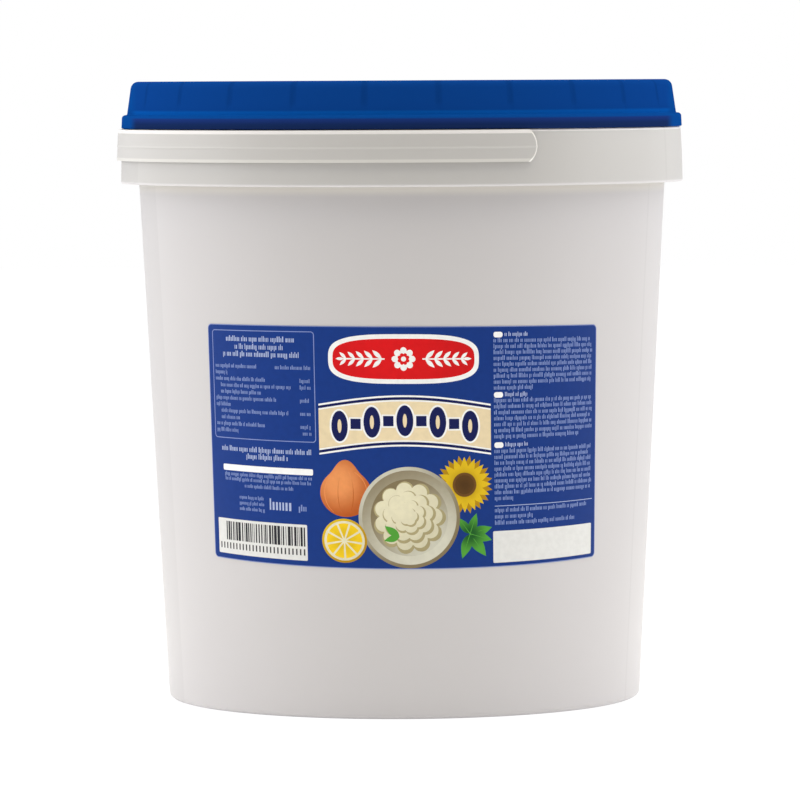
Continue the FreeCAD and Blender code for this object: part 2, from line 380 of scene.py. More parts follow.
def rib_marks(x, y, height, square, count, low, inside):
    """Share of the faint upright shadows of ribs: their count, and the height and radius that they
    start from. square is the squared distance from the axis."""
    turn = x.math("ARCTAN2", x, y)
    between_ribs = turn.math("COSINE", turn * count)
    outer = square.ramp(inside ** 2, (inside + MM) ** 2)
    return (between_ribs * -1).ramp(0.92, 1.0) * height.ramp(low, low + 4 * MM) * outer


def moulded_plastic(name, base, roughness, gloss, bands, marks=None, painted_reflection_edge=None, painted_side_light=None):
    """Injection-moulded polypropylene: faint flow mottling and a fine mould texture.

    bands: each a colour and the heights between which it takes over, going up; the parts use them
    mostly for painted shade and painted highlights
    marks: faint upright shadows of ribs: their count, and the height and radius that they start from
    facet: a painted reflection edge on both sides, a faint dark line with painted brightness behind
    it: its angle from the front, and how far the value rises behind it on the left and on the right
    flank: painted side light, a lighter colour and the distances from the middle, along X, between
    which it takes over"""
    mottling_scale, mottling_value, mottling_roughness = 14.0, 0.03, 0.04
    texture_scale, texture_depth = 900.0, 0.01 * MM
    mark_value = 0.13
    edge_value = 0.05
    edge_start, edge_width, edge_end = 0.012, 0.009, 0.009
    material = bpy.data.materials.new(name)
    graph = Graph(material)
    place = graph.add("ShaderNodeTexCoord", output="Object")
    height = graph.add("ShaderNodeSeparateXYZ", {}, {"Vector": place}, output="Z")
    x = height.output("X")
    y = height.output("Y")
    square = x * x + y * y
    tone = tuple(base)
    for upper, low, high in bands:
        tone = graph.blend(tone, tuple(upper), height.ramp(low, high))
    # Painted side light: a lighter colour towards both sides
    if painted_side_light:
        side, low, high = painted_side_light
        tone = graph.blend(tone, tuple(side), x.math("ABSOLUTE", x).ramp(low, high))
    mottling = graph.noise(place, mottling_scale, 1.0)
    value = 1 - mottling_value / 2 + mottling * mottling_value
    # Painted reflection edge: a faint dark line on both sides and a painted change of brightness
    # behind it
    if painted_reflection_edge:
        turn_back, left_lift, right_lift = painted_reflection_edge
        edge = -math.cos(turn_back)
        backward = y / square.math("SQRT", square)
        behind = backward.ramp(edge, edge + edge_end)
        line = backward.ramp(edge - edge_start, edge - edge_start + edge_width) - behind
        lift = left_lift + x.ramp(-MM, MM) * (right_lift - left_lift)
        value = value + behind * lift - line * edge_value
    if marks:
        value = value - rib_marks(x, y, height, square, *marks) * mark_value
    mottled = roughness + (mottling - 0.5) * mottling_roughness
    texture = graph.noise(place, texture_scale, 1.0)
    graph.finish(tone, value, mottled, gloss, texture, texture_depth)
    return material


def ink(name, light, dark=None, centre=(0, 0), reach=1.0):
    """Glossy print on the label's film. With a dark colour it fades out to it over a reach in mm
    from a centre on the label."""
    roughness, gloss = 0.34, 0.12
    plain_share = 0.15
    mottling_scale, mottling_value, mottling_roughness = 0.35, 0.06, 0.05
    ripple_scale, ripple_depth = 0.12, 0.1 * MM
    material = bpy.data.materials.new("print_" + name)
    graph = Graph(material)
    place = graph.add("ShaderNodeAttribute", {"attribute_name": "label_place"}, output="Vector")
    tone = tuple(light)
    if dark:
        ends = {0: place, 1: (*centre, 0.0)}
        away = graph.add("ShaderNodeVectorMath", {"operation": "DISTANCE"}, ends, output="Value")
        tone = graph.blend(tone, tuple(dark), away.ramp(plain_share * reach, reach))
    mottling = graph.noise(place, mottling_scale, 3.0).ramp(0.3, 0.7)
    value = 1 - mottling_value / 2 + mottling * mottling_value
    mottled = roughness + (mottling - 0.5) * mottling_roughness
    ripple = graph.noise(place, ripple_scale, 1.0)
    graph.finish(tone, value, mottled, gloss, ripple, ripple_depth)
    return material


# Mesh helpers

def around(azimuth, radius, height):
    """Point at an azimuth about the tub's axis, 0 at the front and growing towards +X."""
    return Vector((radius * math.sin(azimuth), -radius * math.cos(azimuth), height))


def between(first, second, share):
    """Number between two numbers."""
    return first + (second - first) * share


def heading(turn):
    """Unit vector in the plane, at an angle from the first axis."""
    return Vector((math.cos(turn), math.sin(turn)))


def outline(corners, closed=False):
    """Points along straight runs joined by tangent arcs, from (a, b, rounding) corners."""
    points = []
    last = len(corners) - 1
    for i, (a, b, rounding) in enumerate(corners):
        corner = Vector((a, b))
        if rounding == 0 or (not closed and i in (0, last)):
            points.append(corner)
            continue
        back = (Vector(corners[i - 1][:2]) - corner).normalized()
        ahead = (Vector(corners[(i + 1) % len(corners)][:2]) - corner).normalized()
        half = back.angle(ahead) / 2
        centre = corner + (back + ahead).normalized() * rounding / math.sin(half)
        start = corner + back * rounding / math.tan(half) - centre
        turn = math.pi - 2 * half
        steps = max(2, math.ceil(turn / ARC_STEP))
        side = 1 if back.cross(ahead) < 0 else -1
        for k in range(steps + 1):
            points.append(centre + Matrix.Rotation(side * turn * k / steps, 2) @ start)
    return points


def turned(profile, azimuths, moved=None):
    """Mesh of a (radius, height) profile turned about the tub's axis. moved gives a shift of a point's
    radius."""
    mesh = bmesh.new()
    rings = []
    for radius, height in profile:
        if radius < SMALLEST:
            rings.append([mesh.verts.new((0, 0, height))])
            continue
        ring = []
        for azimuth in azimuths:
            shift = moved(azimuth, radius, height) if moved else 0.0
            ring.append(mesh.verts.new(around(azimuth, radius + shift, height)))
        rings.append(ring)
    for near, far in zip(rings, rings[1:]):
        for i in range(len(azimuths)):
            j = (i + 1) % len(azimuths)
            a, b = near[i % len(near)], near[j % len(near)]
            c, d = far[j % len(far)], far[i % len(far)]
            mesh.faces.new(dict.fromkeys((a, b, c, d)))
    return mesh


def bridge(mesh, first, second):
    """Adds the faces between two rings of the same number of vertices."""
    for i in range(len(first)):
        j = (i + 1) % len(first)
        mesh.faces.new((first[i], first[j], second[j], second[i]))


def even_azimuths(count):
    """Azimuths spread evenly round the axis."""
    return [math.tau * i / count for i in range(count)]


def piece(name, mesh, materials, body, slot, *nodes):
    """Puts a mesh in the scene as a piece that rides on a body and stands for CAD nodes."""
    data = bpy.data.meshes.new(name)
    bmesh.ops.recalc_face_normals(mesh, faces=mesh.faces)
    mesh.to_mesh(data)
    mesh.free()
    data.shade_smooth()
    data.set_sharp_from_angle(angle=SHARP_ANGLE)
    for material in materials:
        data.materials.append(material)
    made = bpy.data.objects.new(name, data)
    bpy.context.scene.collection.objects.link(made)
    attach(made, body)
    if nodes:
        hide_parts(*nodes)
    return made


def weigh_normals(made):
    """Keeps broad faces flat in the shading, so that only the roundings bend the light."""
    modifier = made.modifiers.new("Weighted normals", "WEIGHTED_NORMAL")
    modifier.keep_sharp = True


# Tub

def wall_radius(height):
    """Outer radius of the tub's wall at a height."""
    tub = bpy.context.scene.tub_sizes
    return tub.foot_radius + height * math.tan(tub.draft)


def skirt_radius(height):
    """Outer radius of the collar's skirt at a height."""
    tub = bpy.context.scene.tub_sizes
    if height > tub.collar_middle:
        share = (height - tub.collar_middle) / (tub.collar_top - tub.collar_middle)
        return between(tub.middle_radius, tub.top_radius, share)
    share = (height - tub.collar_bottom) / (tub.collar_middle - tub.collar_bottom)
    return between(tub.bottom_radius, tub.middle_radius, share)


def tub_profile(tub):
    """Outline of the tub from the middle of its base to the middle of its top."""
    under_flange = tub.collar_top - tub.flange
    ring_inside = tub.foot_radius - tub.ring_width
    panel_edge = ring_inside - 2.0 * MM
    gate_radius = 7 * MM
    gate_depth = 0.6 * MM
    step_radius = 0.62 * panel_edge
    return outline([
        (0, tub.recess + gate_depth, 0),
        (gate_radius, tub.recess + gate_depth, 0.8 * MM),
        (gate_radius + 1.0 * MM, tub.recess, 0.6 * MM),
        (step_radius, tub.recess, 0.8 * MM),
        (step_radius + 1.0 * MM, tub.recess - gate_depth, 0.8 * MM),
        (panel_edge, tub.recess - gate_depth, 0.8 * MM),
        (ring_inside, 0, 0.5 * MM),
        (tub.foot_radius, 0, tub.foot_edge),
        (wall_radius(under_flange), under_flange, 1.5 * MM),
        (skirt_radius(under_flange) - tub.skirt, under_flange, 1.0 * MM),
        (tub.middle_radius - tub.skirt, tub.collar_middle, 300 * MM),
        (tub.bottom_radius - tub.skirt, tub.collar_bottom, 0.75 * MM),
        (tub.bottom_radius, tub.collar_bottom, 0.75 * MM),
        (tub.middle_radius, tub.collar_middle, 300 * MM),
        (tub.top_radius, tub.collar_top, 1.2 * MM),
        (0, tub.collar_top, 0),
    ])


def make_webs(tub, material):
    """Radial webs under the flange, between wall and skirt, straddling the pivots."""
    mesh = bmesh.new()
    thickness = 1.4 * MM
    lift = 4.0 * MM
    bite = 0.8 * MM
    bottom = tub.collar_bottom + lift
    top = tub.collar_top - tub.flange + bite
    corners = [
        (wall_radius(bottom) - bite, bottom),
        (skirt_radius(bottom) - tub.skirt + bite, bottom),
        (skirt_radius(top) - tub.skirt + bite, top),
        (wall_radius(top) - bite, top),
    ]
    for i in range(tub.webs):
        azimuth = pivot_azimuth() + (i + 0.5) * math.tau / tub.webs
        side = around(azimuth, 1.0, 0.0).cross(UP) * thickness / 2
        near = [mesh.verts.new(around(azimuth, r, z) - side) for r, z in corners]
        far = [mesh.verts.new(around(azimuth, r, z) + side) for r, z in corners]
        mesh.faces.new(near)
        mesh.faces.new(reversed(far))
        bridge(mesh, far, near)
    made = piece("collar_webs", mesh, [material], "bucket", "tub_plastic")
    bevel = made.modifiers.new("Soft edges", "BEVEL")
    bevel.width = 0.3 * MM
    bevel.segments = 2


def pivot_azimuth():
    """Azimuth of the handle's nearer pivot, from the joint's axis."""
    return math.atan2(-SWING["axis"][0], SWING["axis"][1])


def pivots():
    """Azimuths of the handle's two pivots."""
    return (pivot_azimuth(), pivot_azimuth() + math.pi)


def pivot_height():
    """Height of the handle's pivots."""
    return SWING["pos_m"][2]


def pivot_bar(mesh, azimuth, radius, near, far, sides=32):
    """Adds a closed round bar on the pivot axis, between two distances from the tub's axis."""
    across = around(azimuth + math.pi / 2, 1.0, 0.0)
    rings = []
    for distance in (near, far):
        centre = around(azimuth, distance, pivot_height())
        ring = []
        for turn in even_azimuths(sides):
            offset = across * math.cos(turn) + UP * math.sin(turn)
            ring.append(mesh.verts.new(centre + offset * radius))
        rings.append(ring)
    bridge(mesh, *rings)
    mesh.faces.new(reversed(rings[0]))
    mesh.faces.new(rings[1])


def drill(made, bars):
    """Cuts the bars' mesh out of a piece."""
    data = bpy.data.meshes.new("drill")
    bmesh.ops.recalc_face_normals(bars, faces=bars.faces)
    bars.to_mesh(data)
    bars.free()
    cutter = bpy.data.objects.new("drill", data)
    bpy.context.scene.collection.objects.link(cutter)
    modifier = made.modifiers.new("Holes", "BOOLEAN")
    modifier.operation = "DIFFERENCE"
    modifier.solver = "EXACT"
    modifier.object = cutter
    shown = made.evaluated_get(bpy.context.evaluated_depsgraph_get())
    cut = bpy.data.meshes.new_from_object(shown)
    made.modifiers.clear()
    made.data = cut
    bpy.data.objects.remove(cutter)


class BUCKET_OT_tub(bpy.types.Operator):
    """Make the tub with its collar and the webs under it"""
    bl_idname = "bucket.tub"
    bl_label = "Tub"

    def execute(self, context):
        tub = context.scene.tub_sizes
        strap = context.scene.strap_sizes
        colours = context.scene.plastic_colours
        lip = tub.collar_bottom
        rim = tub.collar_top
        # Painted light by height: a lighter band under the lip and a lighter lip, the collar darker as
        # painted shade, and a lighter top edge as a painted highlight
        bands = (
            (colours.under_lip_light, lip - 5 * MM, lip - 1 * MM),
            (colours.lip, lip - 0.5 * MM, lip),
            (colours.collar, lip + 0.6 * MM, lip + 1.4 * MM),
            (colours.rim, rim - 1.4 * MM, rim - 0.9 * MM),
        )
        # Painted reflection edge on both sides of the wall, darker behind it on the left and a little
        # lighter on the right
        painted_reflection_edge = (math.radians(68), -0.05, 0.01)
        material = moulded_plastic("white_polypropylene", colours.tub, *WHITE_FINISH, bands,
                                   painted_reflection_edge=painted_reflection_edge)
        mesh = turned(tub_profile(tub), even_azimuths(384))
        made = piece("tub_shell", mesh, [material], "bucket", "tub_plastic", "tub")
        bars = bmesh.new()
        hole = strap.stud_radius + 0.06 * MM
        inside = tub.top_radius - 2 * tub.skirt
        outside = tub.bottom_radius + tub.skirt
        for azimuth in pivots():
            pivot_bar(bars, azimuth, hole, inside, outside)
        drill(made, bars)
        weigh_normals(made)
        make_webs(tub, material)
        return {"FINISHED"}


# Lid

def lid_profile(lid):
    """Outline of the lid from the middle of its underside to the middle of its top."""
    rim_inside = lid.crown_top_radius - lid.rim_width
    panel = lid.top - lid.recess
    ring_out = 0.62 * rim_inside
    ring_width = 5 * MM
    ring_rise = 0.7 * MM
    slope = 0.8 * MM
    gate_radius = 3.2 * MM
    bottom = bpy.context.scene.tub_sizes.collar_top
    return outline([
        (0, bottom, 0),
        (lid.band_radius, bottom, 0.4 * MM),
        (lid.band_top_radius, lid.ledge, 1.6 * MM),
        (lid.crown_radius, lid.ledge, 0.6 * MM),
        (lid.crown_top_radius, lid.top, 3.6 * MM),
        (rim_inside, lid.top, 1.8 * MM),
        (rim_inside - 1.4 * MM, panel, 1.8 * MM),
        (ring_out, panel, 0.5 * MM),
        (ring_out - slope, panel + ring_rise, 0.5 * MM),
        (ring_out - slope - ring_width, panel + ring_rise, 0.5 * MM),
        (ring_out - 2 * slope - ring_width, panel, 0.5 * MM),
        (gate_radius + slope, panel, 0.4 * MM),
        (gate_radius, panel - 0.5 * MM, 0.4 * MM),
        (0, panel - 0.5 * MM, 0),
    ])


def lid_azimuths(lid):
    """Azimuths with a closer spacing at each rib mark."""
    pitch = math.tau / lid.marks
    spacing = 0.5 * MM / lid.crown_radius
    close = [k * spacing for k in range(-6, 7)]
    even = 18
    span = pitch - 2 * close[-1]
    offsets = close + [close[-1] + span * k / even for k in range(1, even)]
    return [(i + 0.5) * pitch + offset for i in range(lid.marks) for offset in offsets]


class BUCKET_OT_lid(bpy.types.Operator):
    """Make the lid with its two bands, raised rim and recessed panel"""
    bl_idname = "bucket.lid"
    bl_label = "Lid"

    def execute(self, context):
        lid = context.scene.lid_sizes
        colours = context.scene.plastic_colours
        hem = context.scene.tub_sizes.collar_top
        root = lid.ledge
        above = root + 2.6 * MM
        # Painted light by height: darker blues towards the hem as painted shade, brighter blues at the
        # ledge and the crown's root as painted highlights, then the lid's own blue
        bands = (
            (colours.lid_band_shade, hem + 1.8 * MM, hem + 4.6 * MM),
            (colours.lid_ledge_and_side_light, root - 1.8 * MM, root - 0.8 * MM),
            (colours.lid_root_highlight, root - 0.2 * MM, root + 0.6 * MM),
            (colours.lid, root + 1.4 * MM, above),
        )
        inside = lid.crown_top_radius - 3 * MM
        marks = (lid.marks, above, inside)
        # Painted side light: the ledge's brighter blue towards the lid's sides
        painted_side_light = (colours.lid_ledge_and_side_light, lid.crown_radius - 6.5 * MM, lid.crown_radius - 2.5 * MM)
        material = moulded_plastic("blue_polypropylene", colours.lid_hem_shade, *BLUE_FINISH, bands,
                                   marks=marks, painted_side_light=painted_side_light)
        pitch = math.tau / lid.marks
        mark_width = 1.1 * MM

        def rib_mark(azimuth, radius, height):
            """Shift of the crown's face at the rib marks."""
            on_crown = root + 0.5 * MM < height <= lid.top - 0.8 * MM
            if not on_crown or radius < inside:
                return 0.0
            away = abs((azimuth % pitch) - pitch / 2) * radius
            return -lid.mark_depth * math.exp(-(away / mark_width) ** 2)

        mesh = turned(lid_profile(lid), lid_azimuths(lid), rib_mark)
        made = piece("lid_shell", mesh, [material], "bucket", "lid_plastic", "lid")
        weigh_normals(made)
        return {"FINISHED"}


# Handle

def strap_point(strap, along, across, outside):
    """Point of the strap: along it from 0 to 1, and across it from -1 at its lower edge to 1."""
    offset = across * strap.width / 2
    inner = between(strap.bottom_radius, strap.top_radius, (across + 1) / 2)
    reach = math.sqrt(strap.end_radius ** 2 - offset ** 2) / inner
    azimuth = between(pivot_azimuth() - math.pi - reach, pivot_azimuth() + reach, along)
    radius = inner + (strap.thickness if outside else 0.0)
    return around(azimuth, radius, pivot_height() + offset)


def strap_columns():
    """Shares along the strap, closer together near its ends."""
    middle_count = 220
    end_count = 4
    end_share = 0.03
    crowding = 1.6
    first = [end_share * (i / end_count) ** crowding for i in range(end_count)]
    middle = [between(end_share, 1 - end_share, i / middle_count) for i in range(middle_count + 1)]
    return first + middle + [1 - share for share in reversed(first)]


def make_strap_mesh(strap):
    """Closed mesh of the strap with its fine ridge. Its rounded edges have the second material."""
    half_width = strap.width / 2
    ridge = -strap.ridge_drop / half_width
    ridge_foot = 0.6 * MM / half_width
    ridge_top = ridge_foot / 3
    upper_rows = [0.2, 0.36, 0.52, 0.66, 0.8, 1.0]
    ridge_rows = [ridge + share for share in (-ridge_foot, -ridge_top, ridge_top, ridge_foot)]
    rows = [-share for share in reversed(upper_rows)] + ridge_rows + upper_rows
    columns = strap_columns()
    mesh = bmesh.new()
    sides = []
    for outside in (True, False):
        grid = []
        for along in columns:
            line = []
            for across in rows:
                point = strap_point(strap, along, across, outside)
                if outside and abs(across - ridge) <= ridge_top + SMALLEST:
                    point += Vector((point.x, point.y, 0)).normalized() * strap.ridge
                line.append(mesh.verts.new(point))
            grid.append(line)
        for i in range(len(columns) - 1):
            for j in range(len(rows) - 1):
                mesh.faces.new((grid[i][j], grid[i + 1][j], grid[i + 1][j + 1], grid[i][j + 1]))
        sides.append(grid)
    rims = []
    for grid in sides:
        upper = [line[-1] for line in grid[1:]]
        lower = [line[0] for line in grid[-2:0:-1]]
        rims.append(grid[0] + upper + grid[-1][-2::-1] + lower)
    bridge(mesh, *rims)
    outer = rims[0]
    edges = [mesh.edges.get(pair) for pair in zip(outer, outer[1:] + outer[:1])]
    bmesh.ops.bevel(mesh, geom=edges, offset=strap.edge, segments=5, profile=0.5, affect="EDGES",
                    clamp_overlap=True, material=1)
    return mesh


class BUCKET_OT_handle(bpy.types.Operator):
    """Make the strap handle with its snap studs"""
    bl_idname = "bucket.handle"
    bl_label = "Handle"

    def execute(self, context):
        strap = context.scene.strap_sizes
        tub = context.scene.tub_sizes
        colours = context.scene.plastic_colours
        top = pivot_height() + strap.width / 2
        bottom = top - strap.width
        ridge = pivot_height() - strap.ridge_drop
        # Painted light by height: a lighter face along the lower edge, the darker strap face as
        # painted shade, and a lighter ridge line and top edge as painted highlights
        bands = (
            (colours.handle, bottom + 1.2 * MM, bottom + 1.6 * MM),
            (colours.ridge, ridge - 0.6 * MM, ridge - 0.2 * MM),
            (colours.handle, ridge + 0.2 * MM, ridge + 0.6 * MM),
            (colours.rim, top - 1.9 * MM, top - 1.3 * MM),
        )
        material = moulded_plastic("handle_polypropylene", colours.strap_hem_highlight, *WHITE_FINISH, bands)
        # The rounded edges get painted highlights: lightest on the lower edge, a little less above it
        edge_highlight_bands = ((colours.strap_edge_highlight, bottom + 1.0 * MM, bottom + 2.5 * MM),)
        edge = moulded_plastic("handle_edge", colours.strap_under_highlight, *WHITE_FINISH, edge_highlight_bands)
        mesh = make_strap_mesh(strap)
        made = piece("strap", mesh, [material, edge], "handle", "handle_plastic", "handle")
        weigh_normals(made)
        studs = bmesh.new()
        head_out = skirt_radius(pivot_height()) - tub.skirt - 0.4 * MM
        head_in = head_out - strap.head_thickness
        stud_in = head_out - 0.2 * MM
        stud_out = strap.top_radius + strap.thickness / 2
        for azimuth in pivots():
            pivot_bar(studs, azimuth, strap.stud_radius, stud_in, stud_out)
            pivot_bar(studs, azimuth, strap.head_radius, head_in, head_out)
        made = piece("strap_studs", studs, [material], "handle", "handle_plastic")
        weigh_normals(made)
        return {"FINISHED"}


# Label

class Artwork:
    """Shapes printed on the label, drawn flat in mm: u runs along the wall from the label's middle,
    v is the height at the front. A later shape covers an earlier one."""

    def __init__(self):
        self.points = []
        self.loops = []
        self.inks = []
        self.random = random.Random(TICK_SEED)

    def shape(self, ink_name, loop):
        """Adds a shape by its outline, counter-clockwise."""
        first = len(self.points)
        self.points += [Vector(point) for point in loop]
        self.loops.append(list(range(first, len(self.points))))
        self.inks.append(ink_name)

    def box(self, ink_name, left, bottom, right, top, rounding=0.0):
        """Adds a box with rounded corners."""
        corners = [(left, bottom), (right, bottom), (right, top), (left, top)]
        self.shape(ink_name, outline([(u, v, rounding) for u, v in corners], closed=True))

    def framed_box(self, line_ink, ground, left, bottom, right, top, line, rounding):
        """Adds a box drawn by a line."""
        self.box(line_ink, left, bottom, right, top, rounding)
        self.box(ground, left + line, bottom + line, right - line, top - line, rounding - line)

    def oval(self, ink_name, centre, half_width, half_height, lean=0.0, steps=48, wave=None):
        """Adds an oval, leaning by an angle; wave scales its reach by direction."""
        loop = []
        for turn in even_azimuths(steps):
            scale = wave(turn) if wave else 1.0
            point = Vector((half_width * math.cos(turn), half_height * math.sin(turn))) * scale
            loop.append(Vector(centre) + Matrix.Rotation(lean, 2) @ point)
        self.shape(ink_name, loop)

    def rosette(self, ink_name, centre, radius, lobes, depth, turn=0.0):
        """Adds a disc with round lobes."""
        def wave(direction):
            return 1 - depth + depth * abs(math.cos(lobes * (direction - turn) / 2)) ** 0.7
        self.oval(ink_name, centre, radius, radius, steps=lobes * 10, wave=wave)

    def blade(self, ink_name, start, size, lean, half_width, belly=1.0, steps=6):
        """Adds a pointed leaf or petal from its stalk end, leaning by an angle. Its half width is a
        share of its size, and a belly under 1 brings its widest place nearer the stalk."""
        start = Vector(start)
        along = heading(lean) * size
        across = Vector((-along.y, along.x)) * half_width
        shares = [k / steps for k in range(1, steps)]
        swells = [across * math.sin(math.pi * share ** belly) for share in shares]
        lower = [start + along * share - swell for share, swell in zip(shares, swells)]
        upper = [start + along * share + swell for share, swell in zip(shares, swells)]
        self.shape(ink_name, [start, *lower, start + along, *reversed(upper)])

    def leaf(self, start, size, lean):
        """Adds a leaf with a lighter midrib, its stalk end at the start."""
        self.blade("leaf", start, size, lean, 0.21, belly=0.8, steps=10)
        start = Vector(start)
        along = heading(lean)
        rib = Vector((-along.y, along.x)) * 0.16
        self.shape("leaf_vein", [start - rib, start + along * size * 0.86, start + rib])

    def words(self, left, right, middle, size, ink_name="faint"):
        """Adds a row of plain ticks, grouped like words. A few reach higher and a few lower."""
        gap, word_gap = 0.21 * size, 0.42 * size
        rise, drop = 0.42 * size, 0.36 * size
        at = left
        while at < right - 0.6 * size:
            for _ in range(self.random.randint(2, 9)):
                width = size * self.random.uniform(0.2, 0.36)
                if at + width > right:
                    return
                low = middle - size / 2
                high = middle + size / 2
                chance = self.random.random()
                if chance < 0.22:
                    high += rise
                elif chance < 0.32:
                    low -= drop
                self.box(ink_name, at, low, at + width, high)
                at += width + gap
            at += word_gap

    def paragraph(self, left, right, top, pitch, rows, last, size):
        """Adds rows of fine print, the last one shorter."""
        for row in range(rows):
            end = last if row == rows - 1 else right - self.random.uniform(0.0, 1.6)
            self.words(left, end, top - row * pitch, size)


def draw_table(art):
    """Left column: a ruled table of fine print, with rows under it."""
    left, right = -93.2, -39.0
    art.framed_box("outline", "ground", left, 120.6, right, 169.8, 0.36, 1.6)
    middle = (left + right) / 2
    for height, width in ((165.7, 37), (162.2, 27), (158.9, 41)):
        art.words(middle - width / 2, middle + width / 2, height, 1.75, "text")
    pitch = 2.91
    lengths = [24, 8, 29, 38, 23, 34, 9, 37, 11, 28, 13]
    indents = [3, 4, 7, 8]
    values = {0: 17, 2: 5, 3: 5, 5: 5, 7: 5, 9: 5, 10: 4}
    for row, row_length in enumerate(lengths):
        start = left + (4.6 if row in indents else 1.6)
        height = 153.4 - row * pitch
        art.words(start, start + row_length, height, 1.3)
        if row in values:
            art.words(right - 2.2 - values[row], right - 2.0, height, 1.3)
    art.words(-89.0, -41.0, 115.9, 1.7, "text")
    art.words(-74.6, -52.4, 112.8, 1.7, "text")
    art.box("white", -88.5, 106.0, -40.8, 108.8, 0.7)
    for height, start, end in ((104.4, -87.6, -41.4), (102.2, -87.4, -41.4), (99.4, -76.0, -50.0)):
        art.words(start, end, height, 1.2)
    for height in (94.2, 91.6, 89.0):
        art.words(-79.2, -65.3, height, 1.15)
    art.words(-62.6, -49.8, 91.5, 3.6, "text")
    art.words(-48.0, -44.2, 90.9, 2.0)


def draw_bars(art):
    """White panel with plain bars of uneven width and a row of ticks under them."""
    art.box("panel", -92.9, 67.9, -44.2, 83.9, 0.5)
    at = -87.8
    end = -45.4
    while at < end:
        width = art.random.choice((0.35, 0.35, 0.7, 0.7, 1.05, 1.4))
        art.box("bars", at, 74.2, min(at + width, end + 0.3), 82.7)
        at += width + art.random.choice((0.32, 0.38, 0.5, 0.75))
    at = -91.6
    while at < end:
        art.box("bars", at, 70.2, at + 0.7, 73.0)
        at += 1.9


def draw_right_column(art):
    """Three paragraphs of fine print with tags, a rule, and a bare white box."""
    left, right = 40.5, 93.8
    paragraphs = (
        # height of the tag, height of the first row, pitch, rows and end of the last row
        (168.5, 165.8, 2.62, 9, 61.0),
        (141.8, 139.2, 2.66, 7, 85.0),
        (119.5, 116.7, 2.62, 9, 50.5),
    )
    for tag, top, pitch, rows, last in paragraphs:
        art.box("white", left, tag - 1.25, left + 4.3, tag + 1.25, 1.1)
        art.words(left + 5.2, left + 16.5, tag, 1.35, "text")
        art.paragraph(left, right, top, pitch, rows, last, 1.4)
    art.box("text", left, 92.3, right, 92.6)
    for height, end in ((90.4, 90.3), (87.6, 59.6), (84.8, 82.7)):
        art.words(left, end, height, 1.4)
    art.box("panel", 39.6, 67.2, 93.3, 81.3, 0.5)


def draw_plaque(art):
    """Red oval plaque with a white edge and a plain rosette between two sprigs."""
    centre = (0.5, 158.0)
    middle = centre[1]
    stem_half = 0.32
    leaf_lean = 0.75
    leaf_width = 0.17

    def squarish(direction):
        """Reach of a rounded, slightly squared oval."""
        power = 3.2
        return (abs(math.cos(direction)) ** power + abs(math.sin(direction)) ** power) ** (-1 / power)

    art.oval("white", centre, 33.2, 10.9, wave=squarish, steps=96)
    art.oval("red", centre, 31.2, 8.9, wave=squarish, steps=96)
    art.rosette("white", centre, 5.2, 8, 0.28)
    art.rosette("red", centre, 2.7, 8, 0.22, math.pi / 8)
    art.oval("white", centre, 1.1, 1.1, steps=24)
    for side in (-1, 1):
        start = centre[0] + side * 8.2
        end = centre[0] + side * 26.5
        art.box("white", min(start, end), middle - stem_half, max(start, end), middle + stem_half)
        for k in range(5):
            at = start + side * (1.2 + k * 3.9)
            size = 5.6 - 0.35 * k
            for up in (-1, 1):
                lean = math.atan2(up * math.sin(leaf_lean), side * math.cos(leaf_lean))
                art.blade("white", (at, middle), size, lean, leaf_width)
        tip_lean = 0.0 if side > 0 else math.pi
        art.blade("white", (end - side * 0.6, middle), 4.0, tip_lean, leaf_width)


def draw_band(art):
    """Cream band that arches across the middle, edged by lines, with a plain frieze on it."""
    left, right = -37.6, 38.9
    middle = (left + right) / 2
    half = (right - left) / 2
    rise = 4.2

    def arch(u):
        """Height of the band's arch above its ends."""
        return rise * math.cos((u - middle) / half * math.pi / 2)

    def strip(ink_name, low, high):
        """A strip of the band, between two heights at its ends."""
        steps = 36
        line = [between(left, right, k / steps) for k in range(steps + 1)]
        lower = [(u, low + arch(u)) for u in line]
        upper = [(u, high + arch(u)) for u in reversed(line)]
        art.shape(ink_name, lower + upper)

    edging = [("white", 0.8), ("navy", 1.2), ("white", 0.7)]
    low = 115.4
    for ink_name, thickness in edging + [("cream", 17.1)] + edging[::-1]:
        strip(ink_name, low, low + thickness)
        low += thickness
    base = 126.7
    count = 9
    pitch = 7.2
    diamonds = (("white", 4.1), ("navy", 3.2))
    ovals = (("white", 4.5, 7.6), ("navy", 3.7, 6.8), ("cream", 0.9, 3.0))
    for k in range(count):
        u = middle + (k - (count - 1) / 2) * pitch
        centre = (u, base + arch(u))
        if k % 2:
            for ink_name, size in diamonds:
                art.oval(ink_name, centre, size, size, lean=math.pi / 4, steps=4)
        else:
            for ink_name, wide, tall in ovals:
                art.oval(ink_name, centre, wide, tall, steps=32)


def draw_flower(art, centre, radius):
    """Sunflower: two rings of pointed petals round a disc of seeds."""
    count = 16
    for ink_name, turn, size in (("petal_back", 0.5, 1.0), ("petal_front", 0.0, 0.92)):
        for k in range(count):
            lean = math.tau * (k + turn) / count
            start = Vector(centre) + heading(lean) * radius * 0.3
            art.blade(ink_name, start, radius * size * 0.72, lean, 0.2, belly=0.7, steps=7)
    art.oval("seed_rim", centre, radius * 0.42, radius * 0.42, steps=40)
    art.oval("seeds", centre, radius * 0.33, radius * 0.33, steps=32)


